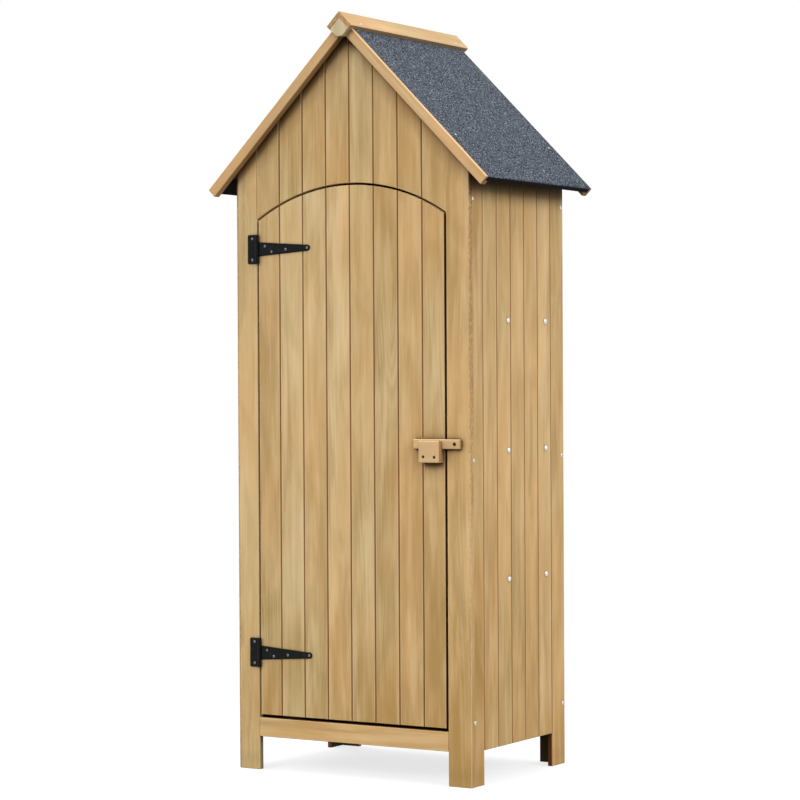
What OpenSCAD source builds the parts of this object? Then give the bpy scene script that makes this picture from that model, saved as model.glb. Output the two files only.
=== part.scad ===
// Garden tool shed: boarded walls on corner legs, a steep felted roof with timber
// barge battens and ridge caps, and one arched door on T-hinges with a drop latch.
// Frame: +X to the right seen from the front, +Y to the back, +Z up, millimetres.
// The origin lies on the ground under the middle of the roof.

/* [Walls] */
// Width over the outer faces of the side walls
body_w = 647; // [610:1:690]
// Depth from the front face to the back face
body_d = 452; // [410:1:520]
// Thickness of the front boards and of the door boards
front_t = 14.5; // [12:0.5:18]
// Thickness of the side and back boards
wall_t = 12; // [10:0.5:16]
// Height of the open gap under the walls between the legs
leg_gap = 79.5; // [50:0.5:110]
// Width of the two front stiles
stile_w = 60.75; // [52:0.25:70]
// Width of the side boards that form the front legs
front_corner_w = 46.5; // [40:0.5:60]
// Width of the side boards that form the back legs
back_corner_w = 65; // [50:0.5:80]
// Width of the back boards that form the back legs
back_stile_w = 50.5; // [40:0.5:70]
// Height of the rail below the door
sill_h = 45.5; // [35:0.5:60]

/* [Frame inside] */
// Side of the square posts in the four corners
post_side = 22; // [16:1:28]
// Thickness of the floor
floor_t = 12; // [9:0.5:18]
// Width of the bearers that carry the floor
bearer_w = 28; // [18:1:40]
// Height of the bearers that carry the floor
bearer_h = 18; // [14:1:24]
// Length of the shelf rails
shelf_rail_l = 250; // [180:1:290]
// Height of the shelf rails
shelf_rail_h = 30; // [20:1:45]
// Thickness of the shelf rails
shelf_rail_t = 18; // [14:1:22]
// Distance from the back wall to the shelf rails
shelf_rail_gap = 45; // [30:1:60]
// Height of the lower pair of shelf rails, at mid height
shelf_low_z = 466; // [400:1:520]
// Height of the middle pair of shelf rails, at mid height
shelf_mid_z = 767; // [700:1:820]
// Height of the upper pair of shelf rails, at mid height
shelf_high_z = 1070; // [1000:1:1130]

/* [Roof] */
// Height of the top edge of the ridge caps
ridge_h = 1790; // [1750:1:1850]
// Pitch of both slopes in degrees
roof_pitch = 45; // [43:0.5:47]
// Level reach of the eaves beyond the side walls
eave_over = 61.5; // [45:0.5:75]
// Reach of the roof in front of the front face
roof_front_over = 26.5; // [24:0.5:34]
// Reach of the roof behind the back face
roof_back_over = 34.5; // [28:0.5:44]
// Thickness of the roof boarding
sheet_t = 11; // [9:0.5:14]
// Thickness of the felt
felt_t = 2; // [1.5:0.25:3]
// Clearance between the layers of the roof
layer_gap = 0.05; // [0.02:0.01:0.2]
// Length of felt folded under the eaves
felt_fold = 50; // [25:1:56]
// Depth of the barge battens, square to the slope
barge_h = 23.5; // [19:0.5:30]
// Thickness of the barge battens along the roof
barge_t = 21; // [17:0.5:23]
// Width of the strip of batten left bare beside the felt
barge_strip = 8.5; // [6:0.5:12]
// Width of each ridge cap board along its outer face
cap_w = 47.5; // [40:0.5:60]
// Thickness of the ridge cap boards
cap_t = 10; // [8:0.5:14]
// Reach of the ridge caps beyond the barge battens
cap_over = 14.5; // [10:0.5:20]
// Side of the square block that closes each end of the ridge
ridge_block_side = 37.5; // [32:0.5:39]
// Depth of that block from its top corner to its cut bottom
ridge_block_h = 44; // [38:0.5:46]

/* [Door] */
// Distance from the top of the ridge caps down to the top of the arched opening
arch_drop = 396.5; // [375:0.5:425]
// Radius of the arched opening
arch_r = 483.5; // [440:0.5:540]
// Gap between the door and the stile on the hinge side
door_gap_hinge = 5; // [4.5:0.25:7]
// Gap between the door and the stile on the latch side
door_gap_latch = 6; // [5.5:0.25:9]
// Gap between the door and the arch
door_gap_top = 5; // [5:0.25:8]
// Gap between the door and the rail below it
door_gap_bottom = 7.5; // [5:0.25:10]
// Height of the ledges across the back of the door
ledge_h = 70; // [55:1:90]
// Thickness of the ledges
ledge_t = 18; // [14:1:22]
// Distance from the edges of the door to the ends of the ledges
ledge_inset = 24; // [20:1:60]

/* [Hinges] */
// Distance from the top of the arched opening down to the upper hinge
hinge_high_drop = 148; // [135:0.5:200]
// Height of the lower hinge
hinge_low_z = 280.5; // [230:0.5:330]
// Width of the hinge leaf on the stile, from the pin
leaf_w = 28; // [22:0.5:34]
// Height of the hinge leaf on the stile
leaf_h = 69; // [60:0.5:80]
// Length of the strap on the door, from the pin
strap_l = 149.5; // [120:0.5:180]
// Height of the strap at the pin
strap_root_h = 33; // [26:0.5:38]
// Height of the strap at its round tip
strap_tip_h = 13.5; // [10:0.5:18]
// Radius of the outer corners of the leaf
leaf_corner_r = 3; // [1:0.5:5]
// Thickness of the leaf and of the strap
plate_t = 2; // [1.5:0.25:2.5]
// Radius of the hinge pin
pin_r = 2.5; // [2:0.1:2.8]
// Radius of the knuckles round the pin
knuckle_r = 4.2; // [3.8:0.1:4.6]
// Running clearance between pin and knuckle
pin_clear = 0.05; // [0.02:0.01:0.1]
// End gap between neighbouring knuckles
knuckle_gap = 0.75; // [0.4:0.05:1.2]
// Gap between the knuckles and the boards behind them
knuckle_face_gap = 0.3; // [0.2:0.05:0.8]

/* [Latch] */
// Height of the latch pivot
latch_z = 785; // [700:0.5:850]
// Distance from the pivot to the outer edge of the stile
pivot_edge = 36; // [28:0.5:42]
// Length of the latch bar
bar_l = 123.5; // [110:0.5:140]
// Height of the latch bar
bar_h = 22; // [18:0.5:26]
// Thickness of the latch bar
bar_t = 8; // [6:0.5:10]
// Size of the bevel on the corners of the bar
bar_bevel = 2; // [1:0.5:4]
// Distance from the pivot to the near end of the bar
pivot_inset = 14; // [11:0.5:18]
// Gap between the bar and the boards behind it
bar_gap = 1.5; // [1.25:0.25:3]
// Radius of the pivot screw
pivot_r = 3; // [2.5:0.1:3.5]
// Running clearance between the pivot screw and the bar
pivot_clear = 0.05; // [0.02:0.01:0.1]
// Radius of the head of the pivot screw
pivot_head_r = 4.25; // [3.75:0.25:6]
// Thickness of the head of the pivot screw
pivot_head_t = 2; // [1.5:0.25:3]
// Depth of the sunk hole for the head in the bar
pivot_sink = 3.2; // [2.4:0.1:4]
// Radius of the washer behind the bar
washer_r = 7; // [5:0.25:9]
// Play between the bar and the washer or head beside it
pivot_play = 0.3; // [0.2:0.05:0.6]
// Width of the catch block on the door
catch_w = 54; // [44:0.5:62]
// Height of the catch block below the bar
catch_base_h = 31.5; // [24:0.5:40]
// Height of the lip in front of the bar
catch_lip_h = 19; // [14:0.5:24]
// Thickness of the lip in front of the bar
catch_lip_t = 10; // [8:0.5:13]
// Distance from the catch block to the edge of the door
catch_edge = 4; // [3:0.5:10]
// Gap between the bar and the floor of the notch
seat_gap = 0.3; // [0.2:0.05:1]

/* [Hidden] */
$fn = 64;
timber = [0.80, 0.63, 0.40];
timber_pale = [0.85, 0.70, 0.50];
timber_dark = [0.68, 0.52, 0.33];
felt_grey = [0.27, 0.29, 0.32];
iron_black = [0.08, 0.08, 0.08];
zinc = [0.72, 0.73, 0.74];
roof_len = body_d + roof_front_over + roof_back_over;
roof_front_y = -roof_len / 2;
roof_back_y = roof_len / 2;
front_y = roof_front_y + roof_front_over;
back_y = front_y + body_d;
side_start_y = front_y + front_t;
back_inner_y = back_y - wall_t;
outer_x = body_w / 2;
inner_x = outer_x - wall_t;
apex_z = ridge_h - cap_t / cos(roof_pitch);
roof_t = sheet_t + felt_t;
eave_s = (outer_x + eave_over) / cos(roof_pitch);
open_x = outer_x - stile_w;
sill_top = leg_gap + sill_h;
floor_z = leg_gap + bearer_h;
floor_top = floor_z + floor_t;
arch_top = ridge_h - arch_drop;
arch_z = arch_top - arch_r;
arch_spring_z = arch_z + sqrt(arch_r * arch_r - open_x * open_x);
arch_cut_low = 20;
cut_over = 1;
door_left = -open_x + door_gap_hinge;
door_right = open_x - door_gap_latch;
door_bottom = sill_top + door_gap_bottom;
door_back_y = front_y + front_t;
hinge_high_z = arch_top - hinge_high_drop;
hinge_x = -open_x + door_gap_hinge / 2;
hinge_y = front_y - knuckle_r - knuckle_face_gap;
plate_overlap = 1.5;
knuckle_swing = 1;
pivot_x = outer_x - pivot_edge;
bar_back_y = front_y - bar_gap;
bar_front_y = bar_back_y - bar_t;
notch_front_y = bar_front_y - bar_gap;
notch_z = latch_z - bar_h / 2 - seat_gap;
catch_right = door_right - catch_edge;

// Height of the underside of the roof boarding over a place x
function under_z(x) = apex_z - abs(x) * tan(roof_pitch) - roof_t / cos(roof_pitch);

// Point of the right slope: s down the slope from the ridge, h out of the felt's face
function slope_pt(s, h) = [
    s * cos(roof_pitch) + h * sin(roof_pitch),
    apex_z - s * sin(roof_pitch) + h * cos(roof_pitch)
];

// Point on the ridge line of a layer h out of the felt's face
function ridge_pt(h) = [0, apex_z + h / cos(roof_pitch)];

// Outline in the XZ plane carried from y_lo to y_hi
module xz_plate(points, y_lo, y_hi) {
    translate([0, y_hi, 0])
        rotate([90, 0, 0])
            linear_extrude(y_hi - y_lo)
                polygon(points);
}

// Outline in the YZ plane carried from x_lo to x_hi
module yz_bar(points, x_lo, x_hi) {
    translate([x_lo, 0, 0])
        rotate([90, 0, 90])
            linear_extrude(x_hi - x_lo)
                polygon(points);
}

// Upright board between x_lo and x_hi, cut to the roof slope at its top
module upright(x_lo, x_hi, y_lo, y_hi, z_lo) {
    xz_plate([[x_lo, z_lo], [x_hi, z_lo], [x_hi, under_z(x_hi)], [x_lo, under_z(x_lo)]], y_lo, y_hi);
}

// Gable outline between two places x, with its foot at z_lo
module gable(x_half, z_lo, y_lo, y_hi) {
    xz_plate([
        [-x_half, z_lo], [x_half, z_lo], [x_half, under_z(x_half)],
        [0, under_z(0)], [-x_half, under_z(x_half)]
    ], y_lo, y_hi);
}

// Round bar along Y through the arch's centre
module arch_round(r, y_lo, y_hi) {
    translate([0, y_hi, arch_z])
        rotate([90, 0, 0])
            cylinder(r = r, h = y_hi - y_lo, $fn = 128);
}

// Layer of the right slope between two depths, square at the eave
module slope_layer(s_end, h_lo, h_hi, y_lo, y_hi) {
    xz_plate([ridge_pt(h_lo), slope_pt(s_end, h_lo), slope_pt(s_end, h_hi), ridge_pt(h_hi)], y_lo, y_hi);
}

module right_side_board(y_lo, y_hi, z_lo) {
    upright(inner_x, outer_x, y_lo, y_hi, z_lo);
}

module right_post(y_lo) {
    upright(inner_x - post_side, inner_x, y_lo, y_lo + post_side, floor_top);
}

module right_bearer() {
    translate([inner_x - bearer_w, side_start_y, leg_gap])
        cube([bearer_w, back_inner_y - side_start_y, bearer_h]);
}

module right_rails() {
    for (z = [shelf_low_z, shelf_mid_z, shelf_high_z])
        translate([
            inner_x - shelf_rail_t,
            back_inner_y - shelf_rail_gap - shelf_rail_l,
            z - shelf_rail_h / 2
        ])
            cube([shelf_rail_t, shelf_rail_l, shelf_rail_h]);
}

module right_sheet() {
    s_end = eave_s - felt_t - layer_gap;
    y_in = barge_strip + layer_gap;
    slope_layer(s_end, -roof_t, -felt_t - layer_gap, roof_front_y + y_in, roof_back_y - y_in);
}

// Felt skin with its edge turned down over the eave and back under it
module right_felt() {
    y_lo = roof_front_y + barge_strip + layer_gap;
    y_hi = roof_back_y - barge_strip - layer_gap;
    fold_lo = roof_front_y + barge_t + layer_gap;
    fold_hi = roof_back_y - barge_t - layer_gap;
    s_in = eave_s - felt_t;
    fold_h = -roof_t - layer_gap;
    slope_layer(eave_s, -felt_t, 0, y_lo, y_hi);
    xz_plate([
        slope_pt(s_in, -roof_t), slope_pt(eave_s, -roof_t),
        slope_pt(eave_s, -felt_t), slope_pt(s_in, -felt_t)
    ], y_lo, y_hi);
    xz_plate([
        slope_pt(eave_s - felt_fold, fold_h - felt_t), slope_pt(eave_s, fold_h - felt_t),
        slope_pt(eave_s, fold_h), slope_pt(eave_s - felt_fold, fold_h)
    ], fold_lo, fold_hi);
    xz_plate([
        slope_pt(s_in, fold_h - felt_t), slope_pt(eave_s, fold_h - felt_t),
        slope_pt(eave_s, -felt_t), slope_pt(s_in, -felt_t)
    ], fold_lo, fold_hi);
}

// Barge batten with a rebate that takes the boarding and the felt
module right_barge(y_edge, inward) {
    y_strip = y_edge + inward * barge_strip;
    y_back = y_edge + inward * barge_t;
    slope_layer(eave_s, -barge_h, 0, min(y_edge, y_strip), max(y_edge, y_strip));
    slope_layer(eave_s, -barge_h, -roof_t - layer_gap, min(y_edge, y_back), max(y_edge, y_back));
}

module right_cap() {
    s_top = cap_t * tan(roof_pitch);
    slope_layer(cap_w - s_top, layer_gap, cap_t, roof_front_y - cap_over, roof_back_y + cap_over);
}

module ridge_block(y_lo, y_hi) {
    corner = slope_pt(ridge_block_side, 0);
    foot_z = apex_z - ridge_block_h;
    foot_x = corner[0] - (corner[1] - foot_z) * tan(roof_pitch);
    xz_plate([
        [0, apex_z], [-corner[0], corner[1]], [-foot_x, foot_z],
        [foot_x, foot_z], corner
    ], y_lo, y_hi);
}

// Plate of the leaf with two round outer corners
module leaf_outline() {
    plate_w = leaf_w - plate_overlap;
    translate([leaf_corner_r, 0])
        square([plate_w - leaf_corner_r, leaf_h]);
    translate([0, leaf_corner_r])
        square([plate_w, leaf_h - 2 * leaf_corner_r]);
    for (z = [leaf_corner_r, leaf_h - leaf_corner_r])
        translate([leaf_corner_r, z])
            circle(r = leaf_corner_r);
}

// Leaf on the stile: outer knuckles, and the pin between them
module hinge_leaf(z) {
    mid_h = strap_root_h + 2 * knuckle_gap;
    translate([hinge_x, hinge_y, z - leaf_h / 2]) {
        difference() {
            union() {
                translate([-leaf_w, front_y - hinge_y, 0])
                    rotate([90, 0, 0])
                        linear_extrude(plate_t)
                            leaf_outline();
                cylinder(r = knuckle_r, h = leaf_h);
            }
            translate([-knuckle_r - knuckle_swing, -2 * knuckle_r, (leaf_h - mid_h) / 2])
                cube([4 * knuckle_r, 4 * knuckle_r, mid_h]);
        }
        cylinder(r = pin_r, h = leaf_h);
    }
}

// Plate of the strap, tapered to a round tip
module strap_outline() {
    tip_r = strap_tip_h / 2;
    tip_x = strap_l - tip_r;
    polygon([
        [plate_overlap, -strap_root_h / 2], [tip_x, -tip_r],
        [tip_x, tip_r], [plate_overlap, strap_root_h / 2]
    ]);
    translate([tip_x, 0])
        circle(r = tip_r);
}

// Strap on the door with the middle knuckle, bored for the pin
module hinge_strap(z) {
    translate([hinge_x, hinge_y, z])
        difference() {
            union() {
                translate([0, front_y - hinge_y, 0])
                    rotate([90, 0, 0])
                        linear_extrude(plate_t)
                            strap_outline();
                translate([0, 0, -strap_root_h / 2])
                    cylinder(r = knuckle_r, h = strap_root_h);
            }
            translate([0, 0, -strap_root_h / 2 - cut_over])
                cylinder(r = pin_r + pin_clear, h = strap_root_h + 2 * cut_over);
        }
}

// Ledge across the back of the door at height z
module door_ledge(z) {
    translate([door_left + ledge_inset, door_back_y, z - ledge_h / 2])
        cube([door_right - door_left - 2 * ledge_inset, ledge_t, ledge_h]);
}

module front_left_stile() {
    color(timber) mirror([1, 0, 0]) upright(open_x, outer_x, front_y, side_start_y, 0);
}

module front_right_stile() {
    color(timber) upright(open_x, outer_x, front_y, side_start_y, 0);
}

module front_sill_rail() {
    color(timber)
        translate([-open_x, front_y, leg_gap])
            cube([2 * open_x, front_t, sill_h]);
}

module front_gable_panel() {
    color(timber)
        difference() {
            gable(open_x, arch_spring_z - arch_cut_low, front_y, side_start_y);
            arch_round(arch_r, front_y - cut_over, side_start_y + cut_over);
        }
}

module left_front_corner_board() {
    color(timber) mirror([1, 0, 0]) right_side_board(side_start_y, side_start_y + front_corner_w, 0);
}

module left_wall() {
    color(timber)
        mirror([1, 0, 0])
            right_side_board(side_start_y + front_corner_w, back_y - back_corner_w, leg_gap);
}

module left_back_corner_board() {
    color(timber) mirror([1, 0, 0]) right_side_board(back_y - back_corner_w, back_y, 0);
}

module right_front_corner_board() {
    color(timber) right_side_board(side_start_y, side_start_y + front_corner_w, 0);
}

module right_wall() {
    color(timber) right_side_board(side_start_y + front_corner_w, back_y - back_corner_w, leg_gap);
}

module right_back_corner_board() {
    color(timber) right_side_board(back_y - back_corner_w, back_y, 0);
}

module back_left_stile() {
    color(timber) mirror([1, 0, 0]) upright(inner_x - back_stile_w, inner_x, back_inner_y, back_y, 0);
}

module back_wall() {
    color(timber) gable(inner_x - back_stile_w, leg_gap, back_inner_y, back_y);
}

module back_right_stile() {
    color(timber) upright(inner_x - back_stile_w, inner_x, back_inner_y, back_y, 0);
}

module front_left_post() {
    color(timber_dark) mirror([1, 0, 0]) right_post(side_start_y);
}

module front_right_post() {
    color(timber_dark) right_post(side_start_y);
}

module back_left_post() {
    color(timber_dark) mirror([1, 0, 0]) right_post(back_inner_y - post_side);
}

module back_right_post() {
    color(timber_dark) right_post(back_inner_y - post_side);
}

module floor() {
    color(timber_dark)
        translate([-inner_x, side_start_y, floor_z])
            cube([2 * inner_x, back_inner_y - side_start_y, floor_t]);
}

module left_floor_bearer() {
    color(timber_dark) mirror([1, 0, 0]) right_bearer();
}

module right_floor_bearer() {
    color(timber_dark) right_bearer();
}

module left_shelf_rails() {
    color(timber_dark) mirror([1, 0, 0]) right_rails();
}

module right_shelf_rails() {
    color(timber_dark) right_rails();
}

module roof_left_board() {
    color(timber_dark) mirror([1, 0, 0]) right_sheet();
}

module roof_right_board() {
    color(timber_dark) right_sheet();
}

module roof_left_felt() {
    color(felt_grey) mirror([1, 0, 0]) right_felt();
}

module roof_right_felt() {
    color(felt_grey) right_felt();
}

module front_left_barge() {
    color(timber) mirror([1, 0, 0]) right_barge(roof_front_y, 1);
}

module front_right_barge() {
    color(timber) right_barge(roof_front_y, 1);
}

module back_left_barge() {
    color(timber) mirror([1, 0, 0]) right_barge(roof_back_y, -1);
}

module back_right_barge() {
    color(timber) right_barge(roof_back_y, -1);
}

module ridge_cap_left() {
    color(timber_pale) mirror([1, 0, 0]) right_cap();
}

module ridge_cap_right() {
    color(timber_pale) right_cap();
}

module ridge_block_front() {
    color(timber_pale) ridge_block(roof_front_y - cap_over, roof_front_y);
}

module ridge_block_back() {
    color(timber_pale) ridge_block(roof_back_y, roof_back_y + cap_over);
}

module upper_hinge_leaf() {
    color(iron_black) hinge_leaf(hinge_high_z);
}

module lower_hinge_leaf() {
    color(iron_black) hinge_leaf(hinge_low_z);
}

module latch_pivot() {
    shank_l = bar_gap + bar_t - pivot_sink + pivot_play;
    color(zinc)
        translate([pivot_x, front_y, latch_z])
            rotate([90, 0, 0]) {
                cylinder(r = washer_r, h = bar_gap - pivot_play);
                cylinder(r = pivot_r, h = shank_l);
                translate([0, 0, shank_l])
                    cylinder(r = pivot_head_r, h = pivot_head_t);
            }
}

module door_panel() {
    color(timber)
        intersection() {
            translate([door_left, front_y, door_bottom])
                cube([door_right - door_left, front_t, arch_top - door_bottom]);
            union() {
                arch_round(arch_r - door_gap_top, front_y - cut_over, door_back_y + cut_over);
                translate([door_left, front_y - cut_over, door_bottom])
                    cube([door_right - door_left, front_t + 2 * cut_over, arch_spring_z - door_bottom - arch_cut_low]);
            }
        }
}

module door_top_ledge() {
    color(timber_dark) door_ledge(hinge_high_z);
}

module door_middle_ledge() {
    color(timber_dark) door_ledge((hinge_high_z + hinge_low_z) / 2);
}

module door_bottom_ledge() {
    color(timber_dark) door_ledge(hinge_low_z);
}

module upper_hinge_strap() {
    color(iron_black) hinge_strap(hinge_high_z);
}

module lower_hinge_strap() {
    color(iron_black) hinge_strap(hinge_low_z);
}

// Block on the door with a notch behind its lip, open at the top and both ends
module latch_catch() {
    color(timber_pale)
        yz_bar([
            [front_y, notch_z - catch_base_h],
            [front_y, notch_z],
            [notch_front_y, notch_z],
            [notch_front_y, notch_z + catch_lip_h],
            [notch_front_y - catch_lip_t, notch_z + catch_lip_h],
            [notch_front_y - catch_lip_t, notch_z - catch_base_h]
        ], catch_right - catch_w, catch_right);
}

module latch_bar() {
    far_x = pivot_inset - bar_l;
    half_h = bar_h / 2;
    color(timber_pale)
        translate([pivot_x, bar_back_y, latch_z])
            rotate([90, 0, 0])
                difference() {
                    linear_extrude(bar_t)
                        polygon([
                            [far_x + bar_bevel, -half_h], [pivot_inset - bar_bevel, -half_h],
                            [pivot_inset, -half_h + bar_bevel], [pivot_inset, half_h - bar_bevel],
                            [pivot_inset - bar_bevel, half_h], [far_x + bar_bevel, half_h],
                            [far_x, half_h - bar_bevel], [far_x, -half_h + bar_bevel]
                        ]);
                    translate([0, 0, -cut_over])
                        cylinder(r = pivot_r + pivot_clear, h = bar_t + 2 * cut_over);
                    translate([0, 0, bar_t - pivot_sink])
                        cylinder(r = pivot_head_r + pivot_play, h = pivot_sink + cut_over);
                }
}

front_left_stile();
front_right_stile();
front_sill_rail();
front_gable_panel();
left_front_corner_board();
left_wall();
left_back_corner_board();
right_front_corner_board();
right_wall();
right_back_corner_board();
back_left_stile();
back_wall();
back_right_stile();
front_left_post();
front_right_post();
back_left_post();
back_right_post();
floor();
left_floor_bearer();
right_floor_bearer();
left_shelf_rails();
right_shelf_rails();
roof_left_board();
roof_right_board();
roof_left_felt();
roof_right_felt();
front_left_barge();
front_right_barge();
back_left_barge();
back_right_barge();
ridge_cap_left();
ridge_cap_right();
ridge_block_front();
ridge_block_back();
upper_hinge_leaf();
lower_hinge_leaf();
latch_pivot();
door_panel();
door_top_ledge();
door_middle_ledge();
door_bottom_ledge();
upper_hinge_strap();
lower_hinge_strap();
latch_catch();
latch_bar();
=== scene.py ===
import math
import random

import bpy
from mathutils import Matrix, Vector
from mathutils.geometry import normal as face_normal


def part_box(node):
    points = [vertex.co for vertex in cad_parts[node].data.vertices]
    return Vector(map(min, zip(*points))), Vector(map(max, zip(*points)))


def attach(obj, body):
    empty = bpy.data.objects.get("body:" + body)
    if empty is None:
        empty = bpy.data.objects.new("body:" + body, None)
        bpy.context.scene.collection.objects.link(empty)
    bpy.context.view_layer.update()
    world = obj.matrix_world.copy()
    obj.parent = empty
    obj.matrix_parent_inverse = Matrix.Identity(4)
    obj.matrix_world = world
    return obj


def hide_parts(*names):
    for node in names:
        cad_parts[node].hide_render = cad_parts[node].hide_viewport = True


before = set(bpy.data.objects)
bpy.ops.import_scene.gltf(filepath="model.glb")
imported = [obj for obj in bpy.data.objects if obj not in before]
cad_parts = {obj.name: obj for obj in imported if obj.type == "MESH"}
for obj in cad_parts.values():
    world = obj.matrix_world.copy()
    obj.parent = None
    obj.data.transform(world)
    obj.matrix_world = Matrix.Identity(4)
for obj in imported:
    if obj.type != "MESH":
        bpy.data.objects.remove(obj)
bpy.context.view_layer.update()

MM = 0.001
X, Y, Z = Vector((1, 0, 0)), Vector((0, 1, 0)), Vector((0, 0, 1))
SIDES = {"left": -1, "right": 1}


# Sizes taken from the frame

def low(node):
    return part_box(node)[0]


def high(node):
    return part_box(node)[1]


FRONT_Y = low("front_left_stile").y
FRONT_T = high("front_left_stile").y - FRONT_Y
BACK_Y = high("back_wall").y
WALL_T = BACK_Y - low("back_wall").y
OUTER_X = high("right_wall").x
INNER_X = low("right_wall").x
OPENING_X = high("front_sill_rail").x
LEG_GAP = low("front_sill_rail").z
FLOOR_TOP = high("floor").z
APEX_Z = high("ridge_block_front").z
ROOF_FRONT_Y = low("front_right_barge").y
ROOF_BACK_Y = high("back_right_barge").y

# Sizes of the construction that boxes don't give
PITCH = math.radians(45)
ROOF_T = 13 * MM
FELT_T = 2 * MM
FELT_FOLD = 50 * MM
LAYER_GAP = 0.05 * MM
BARGE_T = 21 * MM
BARGE_H = 23.5 * MM
BARGE_STRIP = 8.5 * MM
CAP_T = 10 * MM
CAP_W = 47.5 * MM
DOOR_GAP = 5 * MM
ARCH_CENTRE_Z = 910 * MM
DOOR_ARCH_R = high("door_panel").z - ARCH_CENTRE_Z
GABLE_ARCH_R = DOOR_ARCH_R + DOOR_GAP
EAVE_S = high("roof_right_felt").x / math.cos(PITCH)
WALL_APEX_Z = APEX_Z - ROOF_T / math.cos(PITCH)
RAIL_H = 30 * MM
RAIL_ZS = (466 * MM, 767 * MM, 1070 * MM)

# Sizes of the boarding and of planed bars
BOARD_W = 65.9 * MM
SIDE_BOARD_W = 65.2 * MM
BOARD_GAP = 0.6 * MM
TONGUE_T = 3 * MM
TONGUE_INSET = 2 * MM
FLOOR_BOARDS = 6
ROOF_BOARDS = 6
ROOF_GROOVE = 2 * MM
ARRIS = 0.8 * MM
BAR_BEVEL = 1.5 * MM
LEDGE_BEVEL = 2.5 * MM
LEFT_SAWN_W = 6 * MM
LEFT_SAWN_DEPTH = 4.5 * MM
RIGHT_SAWN_W = 1.6 * MM
# Width of the painted highlight along face rims, and the width under which narrow faces are pale as wear and
# painted highlight
RIM_HIGHLIGHT_W = 1.4 * MM
WORN_AND_LIT_EDGE_W = 2.6 * MM
ARCH_STEPS = 8

# Planed edges of boards, as width, depth and groove
V_JOINT = (2.4 * MM, 2.3 * MM, 0.7)
SIDE_V_JOINT = (2.6 * MM, 2.4 * MM, 0.8)
PLAIN_EDGE = (0.8 * MM, 0.8 * MM, 0.15)
HAIR_JOINT = (0.5 * MM, 0.4 * MM, 0.25)
FAINT_JOINT = (1.3 * MM, 1.0 * MM, 0.55)
SILL_EDGES = ((1.2 * MM, 1.2 * MM, 0.1), (1.2 * MM, 1.2 * MM, 0.0))
BACK_CORNER_EDGE = (1.5 * MM, 1.5 * MM, 0.0)

# Groove runs from dark joints at 1 to pale worn edges and painted highlights at -1
RIM_HIGHLIGHT = -0.55
WORN_AND_LIT_EDGE = -0.7
END_SHADE = -0.8

# Groove and saw marks at the worn foot of the right stile
WORN_FOOT = (-0.8, 0.0)

# Tone of each board as the photo shows it, dark 0 to light 1, and its hue, grey 0 to warm 1
DOOR_TONES = ((0.3, 0.5), (0.7, 0.0), (0.6, 0.3), (0.65, 0.7),
              (0.45, 0.4), (0.25, 0.5), (0.5, 0.8), (0.35, 0.6))
# Gable tones are the boards' own tones, lowered as painted shade under the roof's overhang
GABLE_SHADED_TONES = ((0.3, 0.2), (0.35, 0.4), (0.4, 0.55), (0.4, 0.5),
               (0.45, 0.1), (0.4, 0.5), (0.35, 0.7), (0.45, 0.8))
RIGHT_WALL_TONES = ((0.6, 0.95), (0.55, 0.85), (0.5, 1.0), (0.65, 1.0), (0.75, 0.6))
LEFT_STILE_TONE = (0.8, 0.4)
RIGHT_STILE_TONE = (0.4, 1.0)
FRONT_CORNER_TONE = (0.35, 0.8)
BACK_CORNER_TONE = (0.55, 0.95)
SILL_TONE = (0.85, 1.0)
BATTEN_TONE = (0.25, 1.0)
# The cap tone is darkened as painted shade, to offset the stronger light on its upward faces
CAP_SHADED_TONE = (0.0, 0.05)
BLOCK_TONE = (0.2, 0.35)
CATCH_TONE = (0.5, 0.0)
BAR_TONE = (0.55, 1.0)
LEDGE_TONE = (0.6, 0.5)
TONGUE_TONE = (0.2, 0.5)


def srgb(red, green, blue):
    """A colour as it is seen, 0 to 255, in the linear values that nodes take."""
    def linear(value):
        value /= 255
        return value / 12.92 if value <= 0.04045 else ((value + 0.055) / 1.055) ** 2.4
    return (linear(red), linear(green), linear(blue), 1.0)


# Materials

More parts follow.
